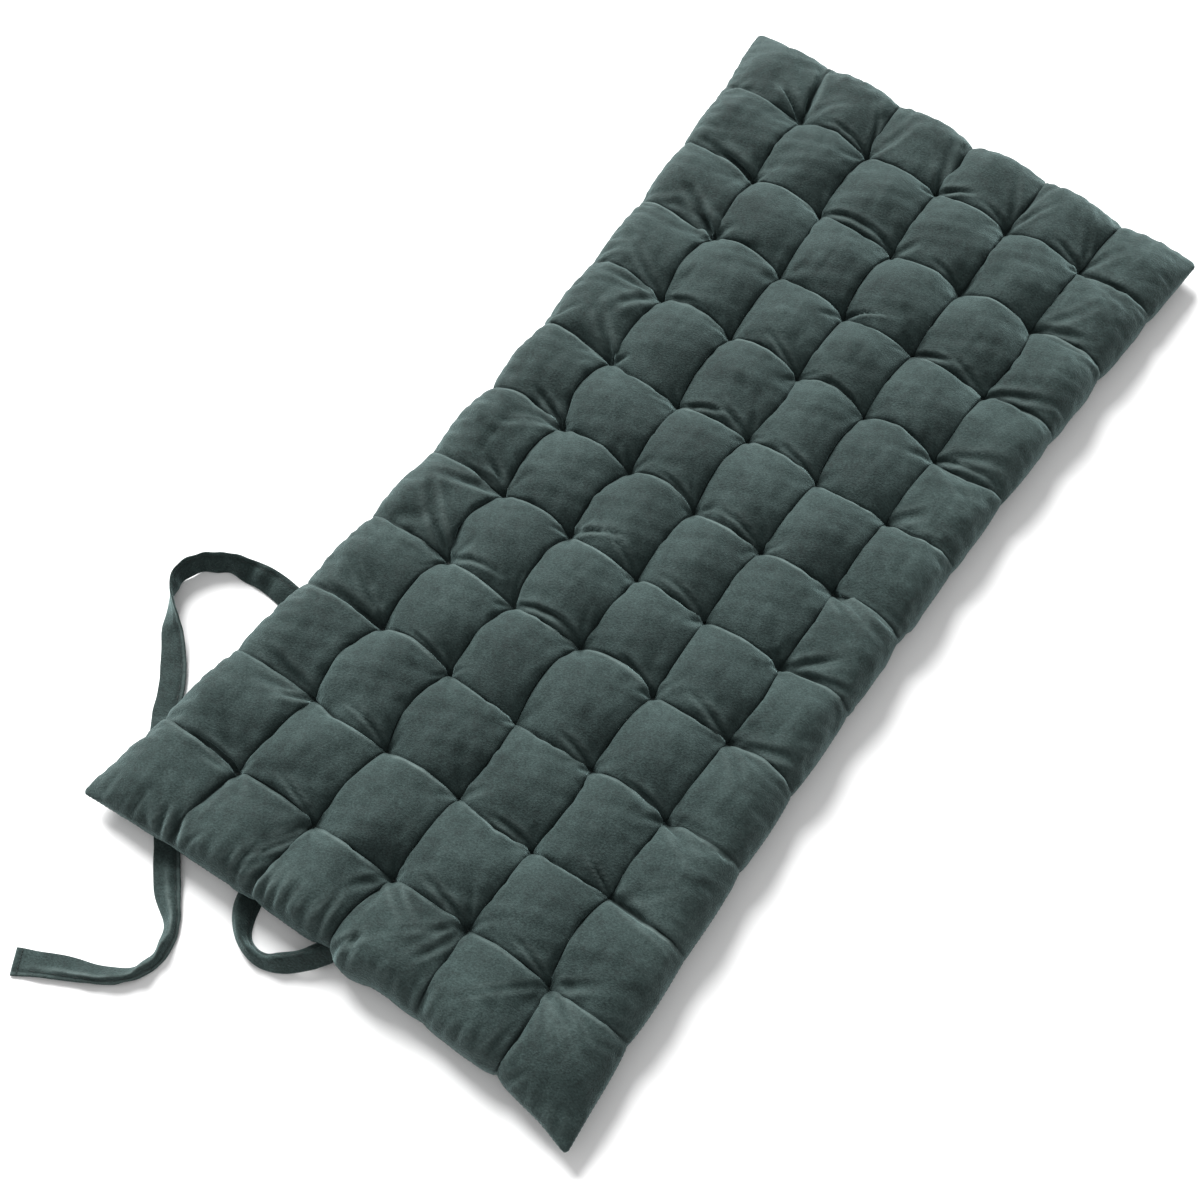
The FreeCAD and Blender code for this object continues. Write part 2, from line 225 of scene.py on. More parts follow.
def ripple(x, y, wavelength, count=9):
    """Smooth random waves of about one wavelength, mostly between -1 and 1."""
    total = 0.0
    for turn in rng.uniform(0, 2 * math.pi, count):
        pitch = 2 * math.pi / wavelength * rng.uniform(0.7, 1.3)
        phase = rng.uniform(0, 2 * math.pi)
        total = total + np.sin(pitch * (x * math.cos(turn) + y * math.sin(turn)) + phase)
    return total / math.sqrt(count)


def pick(table, i, j):
    """The seeded value of each line, cell or tuft."""
    return table[i.astype(int), j.astype(int)]


def rim(u, v):
    """0 at the seam and 1 where the pad is full: it thins further in at the corners."""
    gap_x, gap_y = (1 - np.abs(u)) * HALF_WIDTH, (1 - np.abs(v)) * HALF_LENGTH
    cornered = np.exp(-((np.hypot(gap_x, gap_y) / CORNER_REACH) ** 2))
    width = RIM_WIDTH + CORNER_THINNING * cornered
    rise = 1.0
    for gap in (gap_x, gap_y):
        short = 1 - np.minimum(gap / width, 1)
        rise = rise * np.sqrt(1 - short * short)
    return rise


def notch(position, depths):
    """How far the seam is drawn in near each line of tufts, from its place in cells."""
    nearest = np.clip(np.round(position), 0, len(depths) - 1).astype(int)
    return np.asarray(depths)[nearest] * (1 - np.abs(np.sin(math.pi * position)) ** 0.6)


# Seeded differences between one stretch of crease, cell or tuft and the next.
GRID = (CELLS_X + 2, CELLS_Y + 2)
CREASE_BOW, TUFT_STRAY = 0.0035, 0.002
column_bow = rng.normal(0, CREASE_BOW, GRID)
row_bow = rng.normal(0, CREASE_BOW, GRID)
column_floor = CREASE_FLOOR * rng.uniform(0.85, 1.15, GRID)
row_floor = CREASE_FLOOR * rng.uniform(0.85, 1.15, GRID)
cell_dome = DOME * rng.uniform(0.6, 1.3, GRID)
column_fade = rng.uniform(0.15, 0.9, GRID)
row_fade = rng.uniform(0.3, 0.95, GRID)
tuft_shift = rng.normal(0, TUFT_STRAY, (2, *GRID))
# At the front, the two creases at the left run out before the seam, and two are sharp.
column_fade[1, 0], column_fade[2, 0], column_fade[3, 0], column_fade[5, 0] = 0.95, 0.90, 0.20, 0.10


def flat_place(a, b):
    """X, Y and the unit places u and v of the net's points a and b, in cells."""
    u, v = between(column_u, a), between(row_v, b)
    left = -HALF_WIDTH + LEFT_PULL * (1 - v * v) + notch(b, LEFT_NOTCHES)
    right = HALF_WIDTH - RIGHT_PULL * (1 - v * v) - notch(b, RIGHT_NOTCHES)
    x = (left + right) / 2 + u * (right - left) / 2
    pull = np.where(v < 0, FRONT_PULL, BACK_PULL) * (1 - u * u)
    pull = pull + np.where(v < 0, notch(a, FRONT_NOTCHES), notch(a, BACK_NOTCHES))
    bulge = ROOT_BULGE * np.exp(-(((a - ROOT_PLACE) / ROOT_SPREAD) ** 2))
    pull = pull - np.where(v < 0, bulge, 0)
    y = v * HALF_LENGTH - np.sign(v) * pull * np.abs(v) ** END_SHARPNESS

    i, j = np.floor(a), np.floor(b)
    p, q = a - i, b - j
    bow_x = ((1 - p) * pick(column_bow, i, j) + p * pick(column_bow, i + 1, j)) * np.sin(math.pi * q)
    bow_y = ((1 - q) * pick(row_bow, i, j) + q * pick(row_bow, i, j + 1)) * np.sin(math.pi * p)
    edge_x = np.minimum(1, np.minimum(a, CELLS_X - a))
    edge_y = np.minimum(1, np.minimum(b, CELLS_Y - b))
    shift = [
        (1 - p) * (1 - q) * pick(t, i, j)
        + p * (1 - q) * pick(t, i + 1, j)
        + (1 - p) * q * pick(t, i, j + 1)
        + p * q * pick(t, i + 1, j + 1)
        for t in tuft_shift
    ]
    x = x + (bow_x + shift[0]) * edge_x
    y = y + (bow_y + shift[1]) * edge_y

    # The front right corner is pulled out to a longer point.
    from_corner = np.hypot((1 - u) * HALF_WIDTH, (1 + v) * HALF_LENGTH)
    drawn = np.exp(-((from_corner / LONG_CORNER_REACH) ** 2))
    x, y = x + LONG_CORNER[0] * drawn, y + LONG_CORNER[1] * drawn

    # The corners are turned out to a small round tip.
    gap_x, gap_y = (1 - np.abs(u)) * HALF_WIDTH, (1 - np.abs(v)) * HALF_LENGTH
    in_x, in_y = np.maximum(CORNER_RADIUS - gap_x, 0), np.maximum(CORNER_RADIUS - gap_y, 0)
    keep = np.maximum(in_x, in_y) / np.maximum(np.hypot(in_x, in_y), 1e-9)
    corner = (in_x > 0) & (in_y > 0)
    x = x - np.where(corner, np.sign(u) * in_x * (1 - keep), 0)
    y = y - np.where(corner, np.sign(v) * in_y * (1 - keep), 0)
    return x, y, u, v


def reach_from(line, cells):
    """0 on the tuft lines and 1 half way between them or at the seam."""
    wave = np.abs(np.sin(math.pi * line))
    first, last = np.sin(math.pi / 2 * (1 - line)), np.sin(math.pi / 2 * (line - cells + 1))
    return np.where(line < 1, first, np.where(line > cells - 1, last, wave))


def quilting(a, b, slack=1.0):
    """Height of the quilting above its tufts, where slack is the creases' share of it."""
    i, j = np.minimum(np.floor(a), CELLS_X - 1), np.minimum(np.floor(b), CELLS_Y - 1)
    p, q = a - i, b - j
    from_column, from_row = reach_from(a, CELLS_X), reach_from(b, CELLS_Y)
    near_i, near_j = np.round(a), np.round(b)
    along = pick(column_floor, near_i, j) * from_row**0.7
    across = pick(row_floor, i, near_j) * from_column**0.7
    floor_height = slack * (along**4 + across**4) ** 0.25

    def shoulder(distance):
        short = 1 - np.minimum(distance / SHOULDER_WIDTH, 1)
        return np.sqrt(1 - short * short)

    past_x, past_y = np.maximum(1 - a, a - CELLS_X + 1), np.maximum(1 - b, b - CELLS_Y + 1)
    column_gap = np.where(past_x > 0, past_x, np.minimum(p, 1 - p))
    row_gap = np.where(past_y > 0, past_y, np.minimum(q, 1 - q))
    out_x, out_y = np.clip(past_x, 0, 1), np.clip(past_y, 0, 1)
    fade_column = out_y * pick(column_fade, near_i, j)
    fade_row = out_x * pick(row_fade, i, near_j)
    column_side = shoulder(column_gap * COLUMN_PITCH)
    row_side = shoulder(row_gap * ROW_PITCH)
    column_side = column_side + (1 - column_side) * fade_column
    row_side = row_side + (1 - row_side) * fade_row
    dome = pick(cell_dome, i, j) * from_column * from_row
    return floor_height + SHOULDER_HEIGHT * column_side * row_side + dome


def build_pad():
    """The closed pad before its cloth simulation, and the vertices that stay put."""
    a, b = np.meshgrid(places(CELLS_X, TOP_STEPS), places(CELLS_Y, TOP_STEPS), indexing="ij")
    x, y, u, v = flat_place(a, b)
    rise = rim(u, v)
    lumps = sum(size * ripple(x, y, wavelength) for size, wavelength in LUMPS)
    loose = np.minimum(1, quilting(a, b) / LUMPY_ABOVE)
    top = SEAM_Z + rise * (TUFT_TOP - SEAM_Z + quilting(a, b) + lumps * loose)
    ratio = TOP_STEPS // LOW_STEPS
    low = SEAM_Z - rise * (SEAM_Z - TUFT_BOTTOM + quilting(a, b, UNDER_SLACK))
    low = np.maximum(low, SINKING)[::ratio, ::ratio]
    edge = np.zeros_like(a, bool)
    edge[0, :] = edge[-1, :] = edge[:, 0] = edge[:, -1] = True
    tuft = np.isclose(a, np.round(a)) & np.isclose(b, np.round(b)) & ~edge
    top_index = np.arange(a.size).reshape(a.shape)
    low_edge, low_tuft = edge[::ratio, ::ratio], tuft[::ratio, ::ratio]
    low_index = top_index[::ratio, ::ratio].copy()
    low_index[~low_edge] = a.size + np.arange((~low_edge).sum())
    points = np.concatenate(
        [
            np.stack([x, y, top], -1).reshape(-1, 3),
            np.stack([x[::ratio, ::ratio], y[::ratio, ::ratio], low], -1)[~low_edge],
        ]
    )
    quads = np.stack(
        [top_index[:-1, :-1], top_index[1:, :-1], top_index[1:, 1:], top_index[:-1, 1:]], -1
    )
    faces = [tuple(q) for q in quads.reshape(-1, 4).tolist()]
    last_i, last_j = CELLS_X * LOW_STEPS - 1, CELLS_Y * LOW_STEPS - 1
    half = ratio // 2
    for i in range(last_i + 1):
        for j in range(last_j + 1):
            loop = [low_index[i, j], low_index[i, j + 1], low_index[i + 1, j + 1], low_index[i + 1, j]]
            # Extra corners where the finer top edge meets the bottom.
            extra = [
                (i == 0, top_index[0, ratio * j + half]),
                (j == last_j, top_index[ratio * i + half, -1]),
                (i == last_i, top_index[-1, ratio * j + half]),
                (j == 0, top_index[ratio * i + half, 0]),
            ]
            ring = []
            for corner, (wanted, middle) in zip(loop, extra):
                ring.append(int(corner))
                if wanted:
                    ring.append(int(middle))
            faces.append(tuple(ring))
    pins = np.concatenate([top_index[edge], top_index[tuft], low_index[low_tuft]])
    return points, faces, pins, low_index, a.size


def new_mesh(name, points, faces):
    """A new object in the scene, from its places and faces."""
    mesh = bpy.data.meshes.new(name)
    mesh.from_pydata([tuple(p) for p in points.tolist()], [], faces)
    mesh.validate()
    made = bpy.data.objects.new(name, mesh)
    scene.collection.objects.link(made)
    return made


points, faces, pins, low_index, top_count = build_pad()
pad = new_mesh("pad_cover", points, faces)

# -------------------------------------------------- swelling under pressure

FRAMES = 20
QUALITY = 5
PRESSURE = 4.0
GROWTH = 0.03
CLOTH_MASS = 0.3
STRETCHING, SHEARING, BENDING = 15, 5, 0.4
# How far the simulation may move a point, and where the seam's layers hold it back.
SIM_CAP = 0.014
STIFF_CORNER, STIFF_EDGE, EDGE_SHARE = 0.03, 0.06, 0.45


def simulate(obj, pins):
    """The places of the vertices after a cloth simulation that holds the pins still."""
    group = obj.vertex_groups.new(name="pins")
    group.add([int(i) for i in pins], 1.0, "REPLACE")
    cloth = obj.modifiers.new("cloth", "CLOTH")
    cloth.settings.quality = QUALITY
    cloth.settings.mass = CLOTH_MASS
    cloth.settings.tension_stiffness = STRETCHING
    cloth.settings.compression_stiffness = STRETCHING
    cloth.settings.shear_stiffness = SHEARING
    cloth.settings.bending_stiffness = BENDING
    cloth.settings.use_pressure = True
    cloth.settings.uniform_pressure_force = PRESSURE
    cloth.settings.shrink_min = -GROWTH
    cloth.settings.vertex_group_mass = "pins"
    cloth.settings.effector_weights.gravity = 0
    cloth.collision_settings.use_collision = False
    cloth.point_cache.frame_end = FRAMES
    for number in range(1, FRAMES + 1):
        scene.frame_set(number)
    shown = obj.evaluated_get(bpy.context.evaluated_depsgraph_get())
    place = np.zeros(len(obj.data.vertices) * 3)
    shown.data.vertices.foreach_get("co", place)
    obj.modifiers.remove(cloth)
    scene.frame_set(1)
    return place.reshape(-1, 3)


def vertex_normals(obj):
    normals = np.zeros(len(obj.data.vertices) * 3)
    obj.data.vertices.foreach_get("normal", normals)
    return normals.reshape(-1, 3)


settled = points.copy()
move = simulate(pad, pins) - points
far = np.linalg.norm(move, axis=1, keepdims=True)
move = move * np.minimum(1, SIM_CAP / np.maximum(far, 1e-9))
# The turned-out corners are stiff with the seam's layers and hardly swell.
tip = np.stack([HALF_WIDTH - np.abs(points[:, 0]), HALF_LENGTH - np.abs(points[:, 1])], 1)
stiff = np.clip(np.linalg.norm(np.maximum(tip, 0), axis=1) / STIFF_CORNER, 0, 1) ** 2
stiff *= EDGE_SHARE + (1 - EDGE_SHARE) * np.clip(tip.min(axis=1) / STIFF_EDGE, 0, 1)
settled = points + move * stiff[:, None]
pad.data.vertices.foreach_set("co", settled.ravel())
pad.data.update()
outward = vertex_normals(pad)

# -------------------------------------------------------- folds in the cover

# Lengths, depths and widths that each kind of fold may have, in metres, and how much it
# may bend.
TUFT_FOLD = {"length": (0.018, 0.042), "depth": (0.0006, 0.0016), "width": (0.0022, 0.0042), "bend": 0.12}
TUCK = {"length": (0.045, 0.075), "depth": (0.0024, 0.0046), "width": (0.0020, 0.0030), "bend": 0.08}
LONG_FOLD = {"length": (0.045, 0.100), "depth": (0.0010, 0.0028), "width": (0.0028, 0.0052), "bend": 0.15}
GATHER = {"length": (0.022, 0.055), "depth": (0.0008, 0.0026), "width": (0.0026, 0.0046), "bend": 0.15}
# Shares of the tufts' quarters that have a fold, and of the tufts that have a tuck.
TUFT_FOLD_SHARE, TUCK_SHARE = 0.6, 0.75
# Where folds head, in radians: from a quarter's start, from the crease across, to either
# side of straight out, and how far a gather strays from straight in.
TUFT_FOLD_TURN, TUCK_TILT = (0.3, 1.25), (0.16, 0.42)
LONG_FOLD_SPREAD, GATHER_SPREAD = 0.75, 0.28
# The share of tucks that run to the right, how far behind the tuft they start, and
# how much they bend.
TUCKS_TO_RIGHT, TUCK_START, TUCK_BEND = 0.35, 0.002, 0.10
LONG_FOLDS_PER_TUFT = 3
DEEPER_ON_LEFT = 1.6
GATHER_STRENGTH = {"left": 0.8, "right": 0.45, "front": 0.7, "back": 0.5}
# Near the tie's root the front gathers most, up to this place in cells.
ROOT_GATHERS, ROOT_GATHER_STRENGTH = 3.5, 1.5
# The gathers' spacing along the seam, in cells.
GATHER_PITCH = (0.10, 0.26)
SEAM_NIP = 0.0016
# A fold this deep gets the full painted sheen highlight on its ridges.
FULL_SHEEN_DEPTH = 0.0035
FLOOR_SOFTNESS = 0.005


def net_place(a, b):
    """X and Y of one point of the net, in cells."""
    x, y = flat_place(np.array([float(a)]), np.array([float(b)]))[:2]
    return float(x[0]), float(y[0])


def fold(x, y, start, heading, length, depth, width, bend):
    """The height of one fold in the cloth, a valley between two low ridges, and how
    much painted sheen highlight its ridges get."""
    away_x, away_y = x - start[0], y - start[1]
    along = (away_x * math.cos(heading) + away_y * math.sin(heading)) / length
    off = away_y * math.cos(heading) - away_x * math.sin(heading) - bend * length * along**2
    fade = np.sin(math.pi * np.clip(along, 0, 1) ** 0.75)
    valley = np.exp(-((off / width) ** 2))
    ridges = np.exp(-(((np.abs(off) - 1.9 * width) / (1.1 * width)) ** 2))
    crest = np.exp(-(((np.abs(off) - 1.7 * width) / (0.6 * width)) ** 2))
    # The fold's crests get a painted sheen highlight.
    painted_sheen = np.minimum(depth / FULL_SHEEN_DEPTH, 1) * fade * crest
    return depth * fade * (0.5 * ridges - valley), painted_sheen


def seeded_fold(start, heading, kind, stretch=1.0, deepen=1.0, bow=0.0):
    """Start, heading, length, depth, width and bend of a fold of one kind."""
    length = rng.uniform(*kind["length"]) * stretch
    depth = rng.uniform(*kind["depth"]) * deepen
    width = rng.uniform(*kind["width"])
    return start, heading, length, depth, width, rng.normal(0, kind["bend"]) + bow


def fold_list():
    """Every fold of the top cover."""
    folds = []
    for i in range(1, CELLS_X):
        for j in range(1, CELLS_Y):
            x, y = net_place(i, j)
            # Short folds that run out from the tuft between its creases.
            for quarter in range(4):
                if rng.random() < TUFT_FOLD_SHARE:
                    heading = math.pi / 2 * quarter + rng.uniform(*TUFT_FOLD_TURN)
                    folds.append(seeded_fold((x, y), heading, TUFT_FOLD))
            # A tuck beside the crease across, where the next pillow's foot folds over.
            if rng.random() < TUCK_SHARE:
                to_right = rng.random() < TUCKS_TO_RIGHT
                tilt = rng.uniform(*TUCK_TILT)
                heading = tilt if to_right else math.pi - tilt
                bow = -TUCK_BEND if to_right else TUCK_BEND
                folds.append(seeded_fold((x, y + TUCK_START), heading, TUCK, bow=bow))
    # Long folds from the outer tufts to the seam.
    sides = {"left": math.pi, "right": 0.0, "front": -math.pi / 2, "back": math.pi / 2}
    for side, straight in sides.items():
        deepen = DEEPER_ON_LEFT if side == "left" else 1.0
        for k in range(1, CELLS_Y if side in ("left", "right") else CELLS_X):
            outer = {"left": (1, k), "right": (CELLS_X - 1, k), "front": (k, 1), "back": (k, CELLS_Y - 1)}
            start = net_place(*outer[side])
            for _ in range(LONG_FOLDS_PER_TUFT):
                heading = straight + rng.uniform(-LONG_FOLD_SPREAD, LONG_FOLD_SPREAD)
                folds.append(seeded_fold(start, heading, LONG_FOLD, deepen=deepen))
    # Gathers, where the seam draws the cloth in.
    for side, straight in sides.items():
        count = CELLS_Y if side in ("left", "right") else CELLS_X
        k = rng.uniform(0.1, 0.25)
        while k < count - 0.1:
            near_notch = 1 - abs(math.sin(math.pi * k))
            on_seam = {"left": (0, k), "right": (CELLS_X, k), "front": (k, 0), "back": (k, CELLS_Y)}
            strength = GATHER_STRENGTH[side]
            if side == "front" and k < ROOT_GATHERS:
                strength = ROOT_GATHER_STRENGTH
            heading = straight + math.pi + rng.normal(0, GATHER_SPREAD)
            stretch = 0.8 + 0.5 * near_notch
            deepen = strength * (0.6 + 0.7 * near_notch)
            folds.append(seeded_fold(net_place(*on_seam[side]), heading, GATHER, stretch, deepen))
            k += rng.uniform(*GATHER_PITCH)
    return folds


def folded(x, y):
    """Height of all the folds at the places x and y, and how much painted sheen highlight they put on the
    nap.
    """
    height, painted_sheen = np.zeros(len(x)), np.zeros(len(x))
    for spec in fold_list():
        start, reach = spec[0], spec[2] + 0.02
        close = np.flatnonzero((np.abs(x - start[0]) < reach) & (np.abs(y - start[1]) < reach))
        dip, painted_sheen_here = fold(x[close], y[close], *spec)
        height[close] += dip
        painted_sheen[close] = np.maximum(painted_sheen[close], painted_sheen_here)
    return height, painted_sheen


fold_height, fold_painted_sheen = folded(points[:top_count, 0], points[:top_count, 1])
fold_height[pins[pins < top_count]] = 0
settled[:top_count] += outward[:top_count] * fold_height[:, None]

# Its own weight flattens the underside on the floor, more gently beside the creases.
under = settled[top_count:, 2]
under = (under + np.hypot(under, FLOOR_SOFTNESS)) / 2
settled[top_count:, 2] = under - under.min()

# The seam is drawn in between the two covers.
top_index = np.arange(top_count).reshape(CELLS_X * TOP_STEPS + 1, CELLS_Y * TOP_STEPS + 1)
seam = np.concatenate(
    [top_index[:-1, 0], top_index[-1, :-1], top_index[:0:-1, -1], top_index[0, :0:-1]]
)
settled[seam] -= SEAM_NIP * outward[seam]

# --------------------------------------------------- painted shade and painted sheen for the material

# Width of the painted shade at the creases, place and width of the painted sheen behind each crease
# across, and the share of painted sheen on fold ridges.
CREASE_SHADE_WIDTH = 0.0022
RIM_MARK, RIM_MARK_WIDTH = 0.0032, 0.0020
FOLD_MARK = 0.4


def painted_crease_shade(a, b):
    """Painted shade: 1 at the bottom of a crease, fading to 0 within a few millimetres."""
    column_gap = np.abs(a - np.clip(np.round(a), 1, CELLS_X - 1)) * COLUMN_PITCH
    row_gap = np.abs(b - np.clip(np.round(b), 1, CELLS_Y - 1)) * ROW_PITCH
    near = np.minimum(column_gap, row_gap)
    return np.exp(-((near / CREASE_SHADE_WIDTH) ** 2)).ravel()


def painted_sheen_marks(a, b):
    """Painted sheen: 1 along the rounded shoulders of the creases across, a highlight painted pale where
    light grazes the nap.
    """
    behind = (np.ceil(b - 1e-9) - b) * ROW_PITCH
    cell = np.minimum(np.floor(a), CELLS_X - 1)
    strength = pick(rng.uniform(0.35, 1.1, GRID), cell, np.ceil(b - 1e-9))
    middle = np.sin(math.pi * (a - np.floor(a))) ** 0.6
    inner = (b > 0.5) & (b < CELLS_Y - 0.5)
    rims = np.exp(-(((behind - RIM_MARK) / RIM_MARK_WIDTH) ** 2)) * strength * middle * inner
    return np.maximum(rims.ravel(), FOLD_MARK * fold_painted_sheen)


# The first attribute holds painted shade in the creases. The second holds a painted sheen highlight on
# their shoulders and on fold ridges.
net = np.meshgrid(places(CELLS_X, TOP_STEPS), places(CELLS_Y, TOP_STEPS), indexing="ij")
for label, values in (("crease", painted_crease_shade(*net)), ("painted_sheen", painted_sheen_marks(*net))):
    marks = np.zeros(len(points))
    marks[:top_count] = values
    pad.data.attributes.new(label, "FLOAT", "POINT").data.foreach_set("value", marks)

# ---------------------------------------------------------------------- tie

STITCH_INSET = 0.0055
HEM_INSET = 0.0065
# Points round the tie, and the reach in points that its turns are smoothed over.
AROUND = 32
SMOOTHING = 7
FLOOR_GAP = 0.0002
# The tie crumples less before this distance from its root.
FRONT_LOOP = 0.20
CRUMPLE_IN_LOOP, CRUMPLE_BEYOND, CRUMPLE_EVERYWHERE = 0.0010, 0.0026, 0.0006
COCKLE_PITCHES = (0.034, 0.021, 0.015)
# The share of that crumpling at the stitched edge, which the stitches stiffen.
STITCHED_SHARE = 0.25
CUP = 0.0012
WAVER = 0.03
RIDGE_STRAY = 0.08
# The pad's hold on the tie sets in over this distance, and as near to its root the tie
# keeps only this share of its freedom.
HOLD_FADE, ROOT_FREEDOM = 0.03, 0.3
# The tie crumples fully where it turns with this radius or less.
TIGHT_TURN = 0.035
# Its section's squareness, half its thickness at the edges, and how much and how widely
# its stitches nip it.
SQUARENESS, EDGE_THICKNESS = 5, 0.0002
STITCH_NIP, STITCH_NIP_WIDTH = 0.7, 0.08
HEM_NIP, HEM_NIP_WIDTH = 0.35, 0.0012
# Its free end is rounded over this length, down to this share of its thickness.
END_ROUNDING, END_THICKNESS = 0.0015, 0.2
ring_angle = 2 * math.pi * np.arange(AROUND) / AROUND
ring_across = np.sign(np.cos(ring_angle)) * np.abs(np.cos(ring_angle)) ** 0.75


def along_tie(values):
    """Values given at the route's points, smoothly at each point of the tie's line."""
    runs = [tie_run[np.argmin(np.linalg.norm(tie_line - place, axis=1))] for place in TIE_ROUTE]
    window = np.hanning(2 * SMOOTHING + 1)
    padded = np.pad(np.interp(tie_run, runs, values), SMOOTHING, mode="edge")
    return np.convolve(padded, window / window.sum(), mode="valid")


heading = np.gradient(tie_line, axis=0)
heading /= np.linalg.norm(heading, axis=1, keepdims=True)
level = np.cross([0, 0, 1], heading)
level /= np.linalg.norm(level, axis=1, keepdims=True)
above = np.cross(heading, level)
roll = np.radians(along_tie(TIE_ROLL))[:, None]
plain_fall, stitched_fall = np.radians(along_tie(PLAIN_FALL)), np.radians(along_tie(STITCHED_FALL))
tie_side = np.cos(roll) * level + np.sin(roll) * above
tie_face = np.cos(roll) * above - np.sin(roll) * level
tie_up = above * np.abs(np.cos(roll))
half_tie = TIE_WIDTH / 2

# The pad presses the tie flat where it lies on it, and only the free stretches crumple.
length_place = tie_line[:, 1] / HALF_LENGTH
under_left = tie_line[:, 0] + HALF_WIDTH - LEFT_PULL * (1 - length_place**2)
under_front = tie_line[:, 1] + HALF_LENGTH - FRONT_PULL
tie_free = 1 - np.clip(np.minimum(under_left, under_front) / HOLD_FADE, 0, 1)
tie_free[tie_run < HOLD_FADE] *= ROOT_FREEDOM
bending = np.linalg.norm(np.gradient(heading, tie_run, axis=0), axis=1)
turning = np.minimum(1, TIGHT_TURN * bending)
waver = ripple(tie_run, 0, 0.060, 5)
cup = tie_free * (CUP + CUP * ripple(tie_run, 0, 0.11, 5))
crumple = np.where(tie_run < FRONT_LOOP, CRUMPLE_IN_LOOP, CRUMPLE_BEYOND) * turning
cockle_size = tie_free * (CRUMPLE_EVERYWHERE + crumple)
cockles = [cockle_size * ripple(tie_run, 0, pitch, 6) for pitch in COCKLE_PITCHES]
ridge_place = along_tie(RIDGE) + RIDGE_STRAY * ripple(tie_run, 0, 0.08, 4)
peak = np.maximum(
    (1 + ridge_place) * np.sin(plain_fall), (1 - ridge_place) * np.sin(stitched_fall)
)


def tie_point(index, across, out):
    """A place on the tie: across from -1 to 1, and out from its middle plane in metres."""
    across, out = np.broadcast_arrays(across, out)
    ridge = ridge_place[index]
    edge = half_tie * (1 + WAVER * waver[index])
    fall = np.where(across > ridge, stitched_fall[index], plain_fall[index])
    rise = (peak[index] / 2 - np.abs(across - ridge) * np.sin(fall)) * edge
    sideways = (ridge + (across - ridge) * np.cos(fall)) * edge
    left, middle, right = (1 - across) / 2, 1 - across**2, (1 + across) / 2
    shift = out + cup[index] * (across**2 - 0.35)
    shift = shift + left * cockles[0][index] + middle * cockles[1][index]
    shift = shift + STITCHED_SHARE * right * cockles[2][index]
    return (
        tie_line[index]
        + np.array([0, 0, 1.0]) * tie_lift[index][..., None]
        + tie_side[index] * sideways[..., None]
        + tie_face[index] * shift[..., None]
        + tie_up[index] * rise[..., None]
    )


# How far each ring is raised to clear the floor, set when the rings are made.
tie_lift = np.zeros(len(tie_run))


def tie_thickness(across):
    """Half the tie's thickness: puffy, and nipped along the topstitching near one edge."""
    stitch = 1 - STITCH_INSET / half_tie
    body = REST * np.sqrt(np.maximum(0, 1 - np.abs(across) ** SQUARENESS)) + EDGE_THICKNESS
    return body * (1 - STITCH_NIP * np.exp(-(((across - stitch) / STITCH_NIP_WIDTH) ** 2)))


def build_tie():
    """The places and faces of the tie, ring by ring."""
    rings = []
    last = len(tie_run) - 1
    for index in range(last + 1):
        from_end = tie_run[-1] - tie_run[index]
        # The end is turned in and stitched down, so it is nipped at the hem.
        hem = 1 - HEM_NIP * np.exp(-(((from_end - HEM_INSET) / HEM_NIP_WIDTH) ** 2))
        rounded = math.sqrt(from_end / END_ROUNDING)
        closing = min(1.0, END_THICKNESS + (1 - END_THICKNESS) * rounded)
        out = np.sign(np.sin(ring_angle)) * tie_thickness(ring_across) * hem * closing
        rings.append(tie_point(np.full(AROUND, index), ring_across, out))
    rings = np.array(rings)
    tie_lift[:] = np.maximum(FLOOR_GAP - rings[:, :, 2].min(axis=1), 0)
    rings[:, :, 2] += tie_lift[:, None]
    faces = []
    for ring in range(last):
        for k in range(AROUND):
            following = (k + 1) % AROUND
            row, next_row = ring * AROUND, (ring + 1) * AROUND
            faces.append((row + k, next_row + k, next_row + following, row + following))
    faces.append(tuple(range(AROUND)))
    faces.append(tuple(last * AROUND + k for k in reversed(range(AROUND))))
    return rings.reshape(-1, 3), faces


# Widths of the painted shade at the topstitching, of the painted sheen at a ridge and at the roll
# outside the topstitching, as shares of half the tie's width, and of the painted shade at the hem, in
# metres.
STITCH_MARK, RIDGE_MARK, ROLL_MARK, HEM_MARK = 0.10, 0.13, 0.10, 0.0010
# Where that roll is, from -1 to 1, and how strongly the painted sheen highlight shows on it and on the
# ridges.
ROLL_PLACE, ROLL_SHEEN, RIDGE_SHEEN = 0.86, 0.45, 1.3
tie = new_mesh("tie_band", *build_tie())
# Painted shade, darker in the nipped groove of the topstitching and at the hem.
stitch_shade = np.exp(-(((ring_across - 1 + STITCH_INSET / half_tie) / STITCH_MARK) ** 2))
tie_painted_shade = np.tile(stitch_shade, len(tie_run))
hem_shade = np.exp(-(((tie_run[-1] - tie_run - HEM_INSET) / HEM_MARK) ** 2))
tie_painted_shade = np.maximum(tie_painted_shade, np.repeat(hem_shade, AROUND))
tie.data.attributes.new("crease", "FLOAT", "POINT").data.foreach_set("value", tie_painted_shade)
